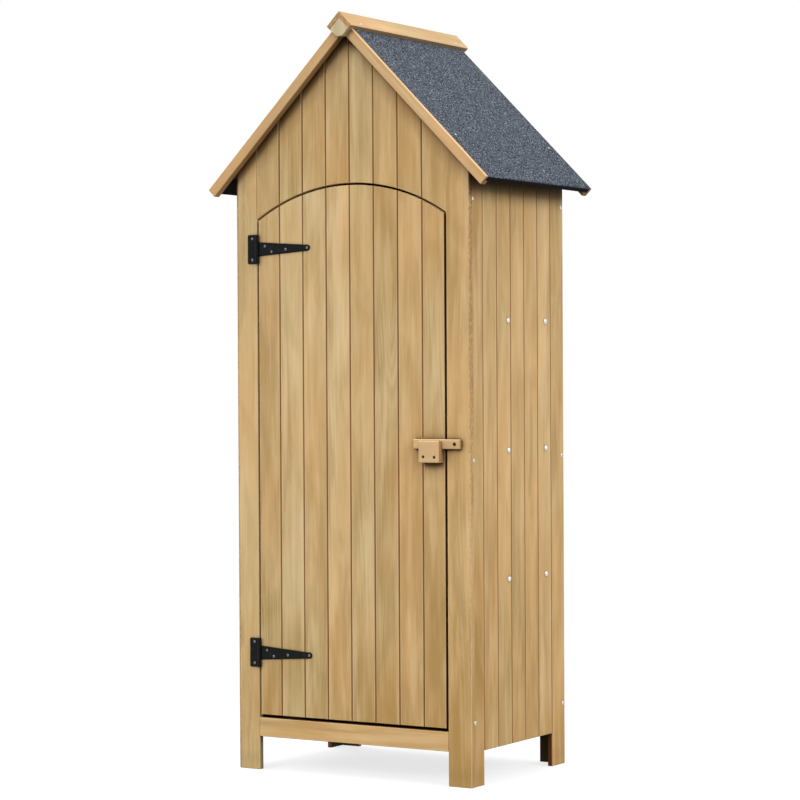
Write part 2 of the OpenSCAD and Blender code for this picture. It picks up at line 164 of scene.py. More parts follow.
class Graph:
    """A short way to write the nodes of a material or of the world."""

    def __init__(self, owner):
        owner.use_nodes = True
        self.tree = owner.node_tree
        self.tree.nodes.clear()

    def node(self, kind, inputs=None, **settings):
        node = self.tree.nodes.new(kind)
        for key, value in settings.items():
            setattr(node, key, value)
        for key, value in (inputs or {}).items():
            self.feed(node.inputs[key], value)
        return node

    def feed(self, socket, value):
        if isinstance(value, bpy.types.NodeSocket):
            self.tree.links.new(value, socket)
        else:
            socket.default_value = value

    def attribute(self, name):
        return self.node("ShaderNodeAttribute", attribute_name=name).outputs

    def place(self):
        return self.node("ShaderNodeTexCoord").outputs["Object"]

    def math(self, operation, a, b=0.0):
        return self.node("ShaderNodeMath", {0: a, 1: b}, operation=operation).outputs[0]

    def product(self, first, *others):
        for other in others:
            first = self.math("MULTIPLY", first, other)
        return first

    def weigh(self, *parts):
        """A sum of (value, weight) pairs."""
        total = 0.0
        for value, weight in parts:
            total = self.math("ADD", self.math("MULTIPLY", value, weight), total)
        return total

    def noise(self, vector, scale, detail=2.0, distortion=0.0):
        inputs = {"Vector": vector, "Scale": scale, "Detail": detail, "Distortion": distortion}
        return self.node("ShaderNodeTexNoise", inputs).outputs[0]

    def drawn_noise(self, vector, factors, scale, detail=2.0, distortion=0.0):
        """Noise drawn out along the axes that have small factors."""
        drawn = self.node("ShaderNodeVectorMath", {0: vector, 1: factors}, operation="MULTIPLY")
        return self.noise(drawn.outputs[0], scale, detail, distortion)

    def cells(self, vector, scale):
        """A random value for each small cell, and the distance from the cell's middle."""
        node = self.node("ShaderNodeTexVoronoi", {"Vector": vector, "Scale": scale})
        colour = self.node("ShaderNodeSeparateColor", {0: node.outputs["Color"]})
        return colour.outputs[0], node.outputs["Distance"]

    def remap(self, value, from_lo, from_hi, to_lo=0.0, to_hi=1.0):
        inputs = {0: value, 1: from_lo, 2: from_hi, 3: to_lo, 4: to_hi}
        return self.node("ShaderNodeMapRange", inputs).outputs[0]

    def mix(self, factor, a, b, blend="MIX"):
        inputs = {0: factor, 6: a, 7: b}
        return self.node("ShaderNodeMix", inputs, data_type="RGBA", blend_type=blend).outputs[2]

    def shader_mix(self, factor, a, b):
        return self.node("ShaderNodeMixShader", {0: factor, 1: a.outputs[0], 2: b.outputs[0]})

    def bump(self, height, strength, distance):
        inputs = {"Height": height, "Strength": strength, "Distance": distance}
        return self.node("ShaderNodeBump", inputs).outputs[0]


class Finish(Graph):
    """One look: a slot, a material and the nodes around its shader."""

    def __init__(self, slot, name, specular):
        self.slot = slot
        self.material = bpy.data.materials.new(name)
        super().__init__(self.material)
        output = self.node("ShaderNodeOutputMaterial")
        self.shader = self.node("ShaderNodeBsdfPrincipled", {"Specular IOR Level": specular})
        self.feed(output.inputs["Surface"], self.shader.outputs[0])

    def surface(self, colour, roughness, normal, metallic=0.0):
        inputs = {"Base Color": colour, "Roughness": roughness, "Normal": normal, "Metallic": metallic}
        for key, value in inputs.items():
            self.feed(self.shader.inputs[key], value)
        return self


# Reach of the ambient occlusion that paints shade into sheltered corners
CORNER_SHADE_REACH = 50 * MM
FOOT_REACH = 550 * MM
# Heights near the ground that get no painted corner shade
UNSHADED_FOOT = (10 * MM, 70 * MM)
# Painted shade on the leg sides under the floor: how far it deepens from the front, and the width of its
# edges
UNDER_FLOOR_SHADE_DEEPENS = 30 * MM
UNDER_FLOOR_SHADE_EDGE = 1 * MM
COOL_TINT = (0.93, 1.01, 1.06, 1)
WARM_TINT = (1.045, 0.985, 0.925, 1)
STAIN = srgb(168, 138, 93)
BLOOM = srgb(221, 192, 150)
SAWN_DARK = srgb(124, 86, 48)
SAWN_LIGHT = srgb(192, 152, 100)
GROOVE_BROWN = srgb(146, 86, 34)
# Pale colour of worn edges and of painted highlights
WEAR_AND_HIGHLIGHT_PALE = srgb(240, 212, 168)
# Colour of the painted shade in sheltered corners
CORNER_SHADE_BROWN = srgb(76, 44, 18)
# Colour of the painted shade on the leg sides under the floor
UNDER_FLOOR_SHADE = srgb(34, 22, 13)


def board_colour(g, grain, tone, hue, foot, light, dark, streaks):
    """Colour of a streaked and stained board, and the fine grain and the rings that also roughen it."""
    broad = g.drawn_noise(grain, (1, 1, 0.06), 46, 3, 0.6)
    cloud = g.drawn_noise(grain, (1, 1, 0.3), 15, 7, 0.7)
    drift = g.drawn_noise(grain, (1, 1, 0.35), 8, 3)
    length = g.drawn_noise(grain, (0.3, 0.3, 1), 2.6, 1)
    fine = g.drawn_noise(grain, (1, 1, 0.02), 400, 3)
    contour = g.drawn_noise(grain, (1, 1, 0.045), 21, 1, 0.2)
    rings = g.remap(g.math("SINE", g.math("MULTIPLY", contour, 95)), -1, 1, -0.5, 0.5)
    rings = g.math("MULTIPLY", rings, g.remap(drift, 0.45, 0.65))

    layers = ((broad, 1.0), (cloud, 1.6), (length, 0.6), (fine, 0.6), (rings, 0.3), (1.0, -1.91))
    streaked = [(value, weight * streaks) for value, weight in layers]
    shade = g.weigh((tone, 1.0), *streaked, (foot, -0.5))
    colour = g.mix(g.remap(shade, -0.2, 1.2), dark, light)
    warmth = g.remap(g.weigh((hue, 0.8), (drift, -2.8), (1.0, 1.5)), 0.0, 1.0)
    colour = g.mix(1.0, colour, g.mix(warmth, COOL_TINT, WARM_TINT), "MULTIPLY")
    stain = g.remap(g.drawn_noise(grain, (1, 1, 0.11), 24, 6, 0.9), 0.54, 0.66, 0.0, 0.5 * streaks)
    colour = g.mix(g.math("MULTIPLY", stain, g.weigh((foot, 0.6), (1.0, 1.0))), colour, STAIN)
    bloom = g.remap(g.drawn_noise(grain, (1, 1, 0.07), 34, 5, 0.3), 0.55, 0.7, 0.0, 0.4 * streaks)
    return g.mix(bloom, colour, BLOOM), fine, rings


def joint_wear_and_highlight_colour(g, colour, groove, sawn, hatch):
    """The colour under saw marks, dark joints, and pale edges that are wear and painted highlight."""
    sawn_colour = g.mix(g.remap(hatch, 0.4, 0.6), SAWN_DARK, SAWN_LIGHT)
    colour = g.mix(g.math("MULTIPLY", sawn, 0.75), colour, sawn_colour)
    colour = g.mix(g.remap(groove, 0.0, 1.0, 0.0, 0.9), colour, GROOVE_BROWN)
    return g.mix(g.remap(groove, -1.0, 0.0, 0.6, 0.0), colour, WEAR_AND_HIGHLIGHT_PALE)


def painted_corner_shade(g, groove, height, shade_amount):
    """Share of painted shade in sheltered corners, with less in joints and none on pale edges or near the
    ground.
    """
    inputs = {"Distance": CORNER_SHADE_REACH}
    open_sky = g.node("ShaderNodeAmbientOcclusion", inputs, samples=8).outputs["AO"]
    return g.product(g.remap(open_sky, 0.5, 0.98, shade_amount, 0.0), g.remap(groove, -1.0, 0.0),
                     g.remap(groove, 0.0, 0.5, 1.0, 0.4), g.remap(height, *UNSHADED_FOOT))


def painted_under_floor_shade(g, across, back, height):
    """Share of painted shade on the inner sides of the legs under the floor, which deepens from the front to
    the back.
    """
    def edge(value, start, before=1.0, after=0.0, width=UNDER_FLOOR_SHADE_EDGE):
        return g.remap(value, start, start + width, before, after)

    aside = g.math("ABSOLUTE", across)
    return g.product(edge(back, FRONT_Y, 0.45, 0.8, UNDER_FLOOR_SHADE_DEEPENS),
                     edge(aside, INNER_X, after=0.65),
                     edge(aside, OUTER_X - 2 * UNDER_FLOOR_SHADE_EDGE),
                     edge(back, FRONT_Y + UNDER_FLOOR_SHADE_EDGE, 0.0, 1.0),
                     edge(back, BACK_Y - WALL_T),
                     edge(height, LEG_GAP - UNDER_FLOOR_SHADE_EDGE, width=2 * UNDER_FLOOR_SHADE_EDGE))


def timber(slot, name, light, dark, streaks=1.0, shade_amount=0.9):
    """Planed softwood, from the grain, tone, hue, groove and saw marks at each point, with painted shade in
    corners and under the floor.
    """
    g = Finish(slot, name, specular=0.1)
    grain = g.attribute("grain")["Vector"]
    tone = g.attribute("tone")
    board_tone, board_hue, groove = g.node("ShaderNodeSeparateColor", {0: tone["Color"]}).outputs
    sawn = tone["Alpha"]
    across, back, height = g.node("ShaderNodeSeparateXYZ", {0: g.place()}).outputs
    foot = g.remap(height, 0.0, FOOT_REACH, 1.0, 0.0)
    hatch = g.drawn_noise(grain, (1, 1, 0.4), 330, 4)

    colour, fine, rings = board_colour(g, grain, board_tone, board_hue, foot, light, dark, streaks)
    colour = joint_wear_and_highlight_colour(g, colour, groove, sawn, hatch)
    # Painted shade in sheltered corners, from ambient occlusion
    colour = g.mix(painted_corner_shade(g, groove, height, shade_amount), colour, CORNER_SHADE_BROWN)
    # Painted shade on the inner sides of the legs under the floor
    colour = g.mix(painted_under_floor_shade(g, across, back, height), colour, UNDER_FLOOR_SHADE)
    relief = g.weigh((fine, 0.5), (rings, 0.3), (g.math("MULTIPLY", sawn, hatch), 1.6))
    return g.surface(colour, g.remap(fine, 0.3, 0.7, 0.5, 0.7), g.bump(relief, 0.3, 0.4 * MM))


def mineral_felt():
    """Roofing felt faced with slate granules and a few bright flakes, and bare where its tone says so."""
    g = Finish("roof_felt", "mineral_roof_felt", specular=0.05)
    place = g.place()
    granule, granule_edge = g.cells(place, 500)
    grit, _ = g.cells(place, 900)
    mottle = g.noise(place, 60, 3)
    shade = g.weigh((granule, 1.35), (grit, 0.9), (mottle, 0.25), (1.0, -0.82))
    colour = g.mix(g.remap(shade, 0.0, 1.0), srgb(16, 18, 21), srgb(105, 113, 125))
    flake = g.remap(granule, 0.94, 0.98)
    colour = g.mix(g.math("MULTIPLY", flake, 0.6), colour, srgb(186, 194, 204))
    bare = g.attribute("tone")["Alpha"]
    colour = g.mix(bare, colour, g.mix(grit, srgb(14, 14, 15), srgb(34, 34, 36)))
    height = g.weigh((granule_edge, -0.6), (grit, 0.5))
    return g.surface(colour, g.remap(grit, 0, 1, 0.7, 0.95), g.bump(height, 0.5, 0.8 * MM))


def black_iron():
    """Satin black paint with a faint orange peel and a few dull scuffs."""
    g = Finish("black_iron", "satin_black_iron", specular=0.1)
    place = g.place()
    peel = g.noise(place, 900, 2)
    scuff = g.remap(g.noise(place, 140, 4, 0.6), 0.58, 0.75)
    colour = g.mix(scuff, srgb(15, 16, 16), srgb(36, 37, 36))
    roughness = g.weigh((peel, 0.2), (scuff, 0.15), (1.0, 0.26))
    return g.surface(colour, roughness, g.bump(peel, 0.25, 0.15 * MM))


def zinc_plate(name, bright, dull):
    """Zinc-plated steel with uneven passivation."""
    g = Finish("zinc", name, specular=0.5)
    cloud = g.noise(g.place(), 420, 3)
    roughness = g.remap(cloud, 0.3, 0.7, 0.4, 0.24)
    return g.surface(g.mix(cloud, dull, bright), roughness, g.bump(cloud, 0.15, 0.1 * MM), metallic=1.0)


WALL_TIMBER = timber("wall_timber", "wall_timber_boards", srgb(217, 185, 136), srgb(168, 133, 79))
DOOR_TIMBER = timber("door_timber", "door_timber_boards", srgb(218, 186, 138), srgb(168, 134, 81))
TRIM_TIMBER = timber("trim_timber", "trim_timber_bars", srgb(224, 189, 145), srgb(182, 145, 98), 0.7, 0.3)
END_GRAIN = timber("trim_timber", "trim_timber_end_grain",
                   srgb(222, 202, 170), srgb(190, 168, 132), 0.6, 0.35)
INNER_TIMBER = timber("inner_timber", "inner_timber_bars", srgb(198, 164, 116), srgb(150, 116, 72))
ROOF_FELT = mineral_felt()
BLACK_IRON = black_iron()
ZINC = zinc_plate("zinc_plate", srgb(242, 243, 245), srgb(204, 206, 209))
BLACK_ZINC = zinc_plate("black_zinc_screws", srgb(150, 156, 164), srgb(70, 73, 78))
DARK_STEEL = zinc_plate("dark_screw_steel", srgb(88, 80, 70), srgb(40, 35, 30))


# Building a piece

SMOOTH_ANGLE = math.radians(32)
HOLE_STEPS = 24
TURNED_STEPS = 28
GRAIN_SHIFT = 40
MITRE_LIMIT = 0.3


def placer(origin, across, deep, along):
    """Turns (across, deep, along) of a board into a point in the frame."""
    return lambda u, d, l: origin + across * u + deep * d + along * l


def is_mirrored(place):
    origin = place(0, 0, 0)
    across, deep, along = (place(*axis) - origin for axis in (X, Y, Z))
    return across.cross(deep).dot(along) < 0


def loop_area(loop):
    return sum(a[0] * b[1] - b[0] * a[1] for a, b in zip(loop, loop[1:] + loop[:1])) / 2


def turned_for(place, loop):
    """The loop in the direction that makes its faces look outwards."""
    return loop[::-1] if (loop_area(loop) < 0) != is_mirrored(place) else loop


def circle(steps):
    return [2 * math.pi * i / steps for i in range(steps)]


def chamfered(u_lo, u_hi, d_lo, d_hi, bevel):
    """Section of a bar with its four long edges planed off."""
    return [(u_lo + bevel, d_lo), (u_hi - bevel, d_lo), (u_hi, d_lo + bevel), (u_hi, d_hi - bevel),
            (u_hi - bevel, d_hi), (u_lo + bevel, d_hi), (u_lo, d_hi - bevel), (u_lo, d_lo + bevel)]


def inset_outline(outline, distance):
    """The outline moved inwards by one distance."""
    turn = math.copysign(1, loop_area(outline))
    moved = []
    count = len(outline)
    for i in range(count):
        before, here, after = (Vector(outline[(i + k) % count]) for k in (-1, 0, 1))
        edges = [(here - before).normalized(), (after - here).normalized()]
        inward = [Vector((-e.y, e.x)) * turn for e in edges]
        bisector = (inward[0] + inward[1]).normalized()
        moved.append(tuple(here + bisector * distance / max(bisector.dot(inward[0]), MITRE_LIMIT)))
    return moved


def add_to_scene(name, data):
    made = bpy.data.objects.new(name, data)
    bpy.context.scene.collection.objects.link(made)
    return made


class Piece:
    """Gathers the faces of one piece, with a place in the grain and a tone at every point."""

    def __init__(self, name):
        self.name = name
        self.random = random.Random(name)
        self.points, self.faces, self.grain, self.tone = [], [], [], []
        self.socket_shade_faces = set()

    def add(self, point, grain=(0, 0, 0), tone=(0.5, 0.5, 0, 0)):
        self.points.append(point)
        self.grain.append(grain)
        self.tone.append(tone)
        return len(self.points) - 1

    def face(self, inside, corners):
        """One flat face with its own corners, turned away from a point inside the solid."""
        points = [corner[0] for corner in corners]
        middle = sum(points, Vector()) / len(points)
        if face_normal(points).dot(middle - inside) < 0:
            corners = corners[::-1]
        self.faces.append([self.add(*corner) for corner in corners])

    def anywhere_in_wood(self):
        return [self.random.uniform(0, GRAIN_SHIFT) for _ in range(3)]

    def timber_corner(self, place, tone):
        """Gives corners of one board, whose grain starts anywhere in the wood."""
        shift = self.anywhere_in_wood()
        value, hue = tone or (self.random.uniform(0.3, 0.65), self.random.uniform(0.2, 0.9))

        def corner(u, d, l, groove=0.0, sawn=0.0):
            return place(u, d, l), (u + shift[0], d + shift[1], l + shift[2]), (value, hue, groove, sawn)
        return corner

    def board(self, place, columns, ends, depth, tone=None, sides=((0, 0), (0, 0)), foot_edge=None):
        """One board from columns of (across, face depth, groove, sawn), between ends(across, deep).

        sides gives (groove, sawn) on its two sides, and foot_edge at the low end of its last edge.
        """
        corner = self.timber_corner(place, tone)
        fronts, backs = [], []
        for u, d, groove, sawn in columns:
            start, stop = ends(u, d)
            rows = [(start, max(d, ARRIS)), (start + ARRIS, d), (stop - ARRIS, d), (stop, max(d, ARRIS))]
            fronts.append([(u, deep, l, groove, sawn) for l, deep in rows])
            backs.append([(u, depth, l, 0.0, 0.0) for l in ends(u, depth)])
        if foot_edge:
            fronts[-1][:2] = [(*c[:3], *foot_edge) for c in fronts[-1][:2]]
        middle_u = (columns[0][0] + columns[-1][0]) / 2
        inside = place(middle_u, depth / 2, sum(ends(middle_u, depth / 2)) / 2)

        def put(*corners):
            self.face(inside, [corner(*c) for c in corners])

        def end_grain(c):
            return (*c[:3], END_SHADE, 0.5)

        for k in range(len(columns) - 1):
            for r in range(3):
                put(fronts[k][r], fronts[k + 1][r], fronts[k + 1][r + 1], fronts[k][r + 1])
            put(backs[k][0], backs[k + 1][0], backs[k + 1][1], backs[k][1])
            for r, b in ((0, 0), (3, 1)):
                put(*map(end_grain, (fronts[k][r], fronts[k + 1][r], backs[k + 1][b], backs[k][b])))
        for k, (groove, sawn) in ((0, sides[0]), (-1, sides[1])):
            outline = [(*c[:3], groove, sawn) for c in fronts[k] + backs[k][::-1]]
            if foot_edge and k == -1:
                for i in (0, 1, -1):
                    outline[i] = (*outline[i][:3], groove, foot_edge[1])
            put(*outline)

    def prism(self, place, loop, ends, tone=None, end_sawn=0.5, open_at=None):
        """A bar of one section between ends(across, deep), open on its side at one depth."""
        corner = self.timber_corner(place, tone)
        loop = turned_for(place, loop)
        edges = [(p, ends(*p)) for p in loop]
        for (a, span_a), (b, span_b) in zip(edges, edges[1:] + edges[:1]):
            if open_at is not None and a[1] == b[1] == open_at:
                continue
            # Narrow faces are pale, as wear and as painted highlight
            worn_and_lit = WORN_AND_LIT_EDGE if math.dist(a, b) < WORN_AND_LIT_EDGE_W else 0.0
            side = ((*a, span_a[0]), (*b, span_b[0]), (*b, span_b[1]), (*a, span_a[1]))
            self.faces.append([self.add(*corner(*c, worn_and_lit)) for c in side])
        for end, order in ((0, -1), (1, 1)):
            cap = [corner(*p, span[end], 0.0, end_sawn) for p, span in edges[::order]]
            self.faces.append([self.add(*c) for c in cap])
        return corner

    def bored_face(self, corner, deep, u_span, l_span, holes, radius, depth):
        """The open side of a bar, filled with a flat face that has round sunk holes at (across, along),
        darkened inside as painted shade.
        """
        holes = sorted(holes, key=lambda hole: hole[1])
        splits = [(a[1] + b[1]) / 2 for a, b in zip(holes, holes[1:])]
        for (u, l), l_lo, l_hi in zip(holes, [l_span[0]] + splits, splits + [l_span[1]]):
            corners = [(x - u, y - l) for x in u_span for y in (l_lo, l_hi)]
            turns = circle(HOLE_STEPS) + [math.atan2(y, x) % (2 * math.pi) for x, y in corners]
            rays = [(math.cos(t), math.sin(t)) for t in sorted(turns)]
            rim = [(u + radius * c, l + radius * s) for c, s in rays]
            edge = []
            for c, s in rays:
                reach_u = ((u_span[1] if c > 0 else u_span[0]) - u) / c if abs(c) > 1e-9 else math.inf
                reach_l = ((l_hi if s > 0 else l_lo) - l) / s if abs(s) > 1e-9 else math.inf
                reach = min(reach_u, reach_l)
                edge.append((u + reach * c, l + reach * s))
            behind = corner(u, deep + depth * 2, l)[0]
            for i in range(len(rays)):
                k = (i + 1) % len(rays)
                self.face(behind, [corner(p[0], deep, p[1]) for p in (rim[i], rim[k], edge[k], edge[i])])
                # The hole's wall and bottom take the groove colour as painted shade
                wall = ((rim[i], deep), (rim[k], deep), (rim[k], deep + depth), (rim[i], deep + depth))
                outside = (2 * rim[i][0] - u, 2 * rim[i][1] - l)
                self.face(corner(outside[0], deep + depth / 2, outside[1])[0],
                          [corner(p[0], d, p[1], 0.6) for p, d in wall])
            self.face(behind, [corner(p[0], deep + depth, p[1], 0.8) for p in rim])

    def skin(self, rings, bare=None):
        """A smooth skin over closed rings of points, with both ends filled, bare where bare says so."""
        count = len(rings[0])
        first = len(self.points)
        for ring in rings:
            for i, point in enumerate(ring):
                self.add(point, tone=(0.5, 0.5, 0.0, bare[i] if bare else 0.0))
        last = len(self.points)
        for start in range(first, last - count, count):
            for i in range(count):
                a, b = start + i, start + (i + 1) % count
                self.faces.append([a, b, b + count, a + count])
        self.faces.append(list(range(first, first + count))[::-1])
        self.faces.append(list(range(last - count, last)))

    def lathe(self, origin, axis, profile, steps=TURNED_STEPS):
        """A turned shape from (radius, height) points, standing on origin along axis."""
        side = axis.orthogonal().normalized()
        other = axis.cross(side)

        def ring(radius, height):
            return [origin + axis * height + (side * math.cos(t) + other * math.sin(t)) * radius
                    for t in circle(steps)]
        self.skin([ring(radius, height) for radius, height in profile])

    def plate(self, place, outline, thick, bevel):
        """A plate with the edges of its outer face planed off, on a convex outline of (u, v)."""
        outline = turned_for(place, outline)
        inset = inset_outline(outline, bevel)
        self.skin([[place(u, v, 0) for u, v in outline],
                   [place(u, v, thick - bevel) for u, v in outline],
                   [place(u, v, thick) for u, v in inset]])

    def tint_whole(self, tone):
        """Gives a piece made of plates the grain of one block of wood."""
        shift = Vector(self.anywhere_in_wood())
        self.grain = [tuple(p + shift) for p in self.points]
        self.tone = [(*tone, 0.0, 0.0) for _ in self.points]

    def finish(self, look, body, *nodes):
        """Makes the object, which rides on a body and stands for CAD nodes."""
        mesh = bpy.data.meshes.new(self.name)
        mesh.from_pydata(self.points, [], self.faces)
        for name, kind, key, rows in (("grain", "FLOAT_VECTOR", "vector", self.grain),
                                      ("tone", "FLOAT_COLOR", "color", self.tone)):
            attribute = mesh.attributes.new(name, kind, "POINT")
            attribute.data.foreach_set(key, [v for row in rows for v in row])
        mesh.shade_smooth()
        mesh.set_sharp_from_angle(angle=SMOOTH_ANGLE)
        mesh.materials.append(look.material)
        # Screw sockets take the dark screw steel as painted shade in their recess
        if self.socket_shade_faces:
            mesh.materials.append(DARK_STEEL.material)
            indices = [int(i in self.socket_shade_faces) for i in range(len(self.faces))]
            mesh.polygons.foreach_set("material_index", indices)
        piece = add_to_scene(self.name, mesh)
        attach(piece, body)
        if nodes:
            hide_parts(*nodes)


# Walls and door

FRONT_PLACE = placer(Y * FRONT_Y, X, Y, Z)
BACK_PLACE = placer(Y * BACK_Y, X, -Y, Z)
INNER_JOINTS = [BOARD_W * k for k in range(-3, 4)]


def under_roof(x):
    return WALL_APEX_Z - abs(x) * math.tan(PITCH)


def arch(radius, x):
    return ARCH_CENTRE_Z + math.sqrt(radius ** 2 - x ** 2)


def planed_edge(edge, inward, bevel):
    """Columns from a board's edge up to the rim of its face, which carries a painted highlight."""
    width, depth, groove = bevel
    return [(edge, depth, groove, 0.0),
            (edge + inward * 0.6 * width, 0.4 * depth, 0.8 * groove, 0.0),
            (edge + inward * width, 0.0, RIM_HIGHLIGHT, 0.0)]


def board_columns(u_lo, u_hi, lo_bevel, hi_bevel, steps=1):
    """Columns of a board with a planed edge at each side and the face between."""
    face_lo, face_hi = u_lo + lo_bevel[0] + RIM_HIGHLIGHT_W, u_hi - hi_bevel[0] - RIM_HIGHLIGHT_W
    face = [(face_lo + (face_hi - face_lo) * i / steps, 0.0, 0.0, 0.0) for i in range(steps + 1)]
    return planed_edge(u_lo, 1, lo_bevel) + face + planed_edge(u_hi, -1, hi_bevel)[::-1]


def tongue(piece, place, joint, ends, depth):
    """Dark strip that shows at the bottom of a groove."""
    def short_ends(u, d):
        start, stop = ends(u, d)
        return start + TONGUE_INSET, stop - TONGUE_INSET

    deep = depth / 2 - TONGUE_T / 2
    columns = [(joint + side * BOARD_GAP, deep, 1.0, 0.0) for side in (-1, 1)]
    piece.board(place, columns, short_ends, depth / 2 + TONGUE_T / 2, TONGUE_TONE)


def boarding(name, place, joints, ends, depth, tones=None,
             edges=(PLAIN_EDGE, PLAIN_EDGE), joint=V_JOINT, steps=1):
    """A piece of matched boards between joints, with V grooves, and a tongue behind each inner groove."""
    piece = Piece(name)
    count = len(joints) - 1
    for i in range(count):
        first, last = i == 0, i == count - 1
        u_lo = joints[i] + (0 if first else BOARD_GAP / 2)
        u_hi = joints[i + 1] - (0 if last else BOARD_GAP / 2)
        columns = board_columns(u_lo, u_hi, edges[0] if first else joint, edges[1] if last else joint, steps)
        piece.board(place, columns, ends, depth, tones[i] if tones else None)
    for across in joints[1:-1]:
        tongue(piece, place, across, ends, depth)
    return piece


def wall_board(name, node, place, columns, ends, depth, **shades):
    """A piece of one wall board."""
    piece = Piece(name)
    piece.board(place, columns, ends, depth, **shades)
    piece.finish(WALL_TIMBER, "shed", node)


def box_bar(node, body, axes, bevel, ends=None, tone=None):
    """A bar with planed edges in a node's box, along the last of three axes."""
    lo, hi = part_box(node)
    across, deep, along = [(lo.dot(axis), hi.dot(axis)) for axis in axes]
    piece = Piece(f"{node}_bar")
    section = chamfered(*across, *deep, bevel)
    piece.prism(placer(Vector(), *axes), section, ends or (lambda u, d: along), tone)
    piece.finish(INNER_TIMBER, body, node)


def front_stiles():
    """Corner boards of the front, with the sawn outer edges that the photo shows."""
    def ends(u, d):
        return 0.0, under_roof(u)

    sawn_x = -OUTER_X + LEFT_SAWN_W
    columns = [(-OUTER_X, LEFT_SAWN_DEPTH, 0.1, 1.0), (sawn_x, 0.2 * MM, 0.0, 0.9),
               (sawn_x + ARRIS, 0.0, 0.0, 0.0), (-OPENING_X - ARRIS, 0.0, 0.0, 0.0),
               (-OPENING_X, ARRIS, -0.4, 0.0)]
    # The stile's inner side in the door gap is painted pale, as painted light in the gap's shade, and its
    # inner edge carries a painted highlight
    wall_board("front_left_stile_board", "front_left_stile", FRONT_PLACE, columns, ends, FRONT_T,
               tone=LEFT_STILE_TONE, sides=((0, 1.0), (-1.0, 0)))

    sawn_x = OUTER_X - RIGHT_SAWN_W
    columns = [(OPENING_X, HAIR_JOINT[1], HAIR_JOINT[2], 0.0), (OPENING_X + HAIR_JOINT[0], 0.0, 0.0, 0.0),
               (sawn_x - 0.6 * MM, 0.0, 0.0, 0.0), (sawn_x, 0.1 * MM, 0.0, 0.5),
               (OUTER_X, RIGHT_SAWN_W, 0.0, 0.9)]
    wall_board("front_right_stile_board", "front_right_stile", FRONT_PLACE, columns, ends, FRONT_T,
               tone=RIGHT_STILE_TONE, sides=((0, 0.3), (0, 1.0)), foot_edge=WORN_FOOT)


def front_gable():
    def ends(u, d):
        return arch(GABLE_ARCH_R, u), under_roof(u)

    joints = [-OPENING_X] + INNER_JOINTS + [OPENING_X]
    piece = boarding("front_gable_boards", FRONT_PLACE, joints, ends, FRONT_T, GABLE_SHADED_TONES,
                     (FAINT_JOINT, HAIR_JOINT), steps=ARCH_STEPS)
    piece.finish(WALL_TIMBER, "shed", "front_gable_panel")


def front_sill():
    place = placer(Y * FRONT_Y, Z, Y, X)
    columns = board_columns(LEG_GAP, high("front_sill_rail").z, *SILL_EDGES)
    wall_board("front_sill_board", "front_sill_rail", place, columns,
               lambda u, d: (-OPENING_X, OPENING_X), FRONT_T, tone=SILL_TONE)


def side_walls():
    """Corner boards that reach the ground as legs, and the shorter boards between them."""
    def ends_from(bottom):
        return lambda u, d: (bottom, under_roof(OUTER_X - d))

    for side, sign in SIDES.items():
        place = placer(X * sign * OUTER_X, Y, X * -sign, Z)
        front_lo, front_hi = [corner.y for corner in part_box(f"{side}_front_corner_board")]
        back_lo, back_hi = [corner.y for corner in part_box(f"{side}_back_corner_board")]

        columns = board_columns(front_lo, front_hi - BOARD_GAP / 2, HAIR_JOINT, SIDE_V_JOINT)
        wall_board(f"{side}_front_corner_boards", f"{side}_front_corner_board", place, columns,
                   ends_from(0.0), WALL_T, tone=FRONT_CORNER_TONE)

        joints = [front_hi + SIDE_BOARD_W * k for k in range(5)] + [back_lo]
        tones = RIGHT_WALL_TONES if side == "right" else None
        wall = boarding(f"{side}_wall_boards", place, joints, ends_from(LEG_GAP), WALL_T, tones,
                        (SIDE_V_JOINT, SIDE_V_JOINT), SIDE_V_JOINT)
        for joint in (front_hi, back_lo):
            tongue(wall, place, joint, ends_from(LEG_GAP), WALL_T)
        wall.finish(WALL_TIMBER, "shed", f"{side}_wall")

        columns = board_columns(back_lo + BOARD_GAP / 2, back_hi, SIDE_V_JOINT, BACK_CORNER_EDGE)
        # The corner board's front side is painted dark: a dark joint beside the wall boards, and painted
        # shade on the leg below them
        wall_board(f"{side}_back_corner_boards", f"{side}_back_corner_board", place, columns,
                   ends_from(0.0), WALL_T, tone=BACK_CORNER_TONE, sides=((1.0, 0), (0, 0.7)))


def back_walls():
    stile_x = high("back_wall").x
    for side, sign in SIDES.items():
        lo, hi = sorted((sign * stile_x, sign * INNER_X))
        edges = (HAIR_JOINT, V_JOINT) if sign < 0 else (V_JOINT, HAIR_JOINT)
        wall_board(f"back_{side}_stile_board", f"back_{side}_stile", BACK_PLACE,
                   board_columns(lo, hi, *edges), lambda u, d: (0.0, under_roof(u)), WALL_T)

    joints = [-stile_x] + INNER_JOINTS + [stile_x]
    piece = boarding("back_wall_boards", BACK_PLACE, joints, lambda u, d: (LEG_GAP, under_roof(u)), WALL_T,
                     edges=(V_JOINT, V_JOINT))
    piece.finish(WALL_TIMBER, "shed", "back_wall")


def door():
    bottom = low("door_panel").z

    def ends(u, d):
        return bottom, arch(DOOR_ARCH_R, u)

    joints = [low("door_panel").x] + INNER_JOINTS + [high("door_panel").x]
    piece = boarding("door_boards", FRONT_PLACE, joints, ends, FRONT_T, DOOR_TONES, steps=ARCH_STEPS)
    piece.finish(DOOR_TIMBER, "door", "door_panel")
    for name in ("top", "middle", "bottom"):
        box_bar(f"door_{name}_ledge", "door", (Z, Y, X), LEDGE_BEVEL, tone=LEDGE_TONE)


# Inside

def posts():
    for name in ("front_left", "front_right", "back_left", "back_right"):
        box_bar(f"{name}_post", "shed", (X, Y, Z), BAR_BEVEL, lambda u, d: (FLOOR_TOP, under_roof(u)))


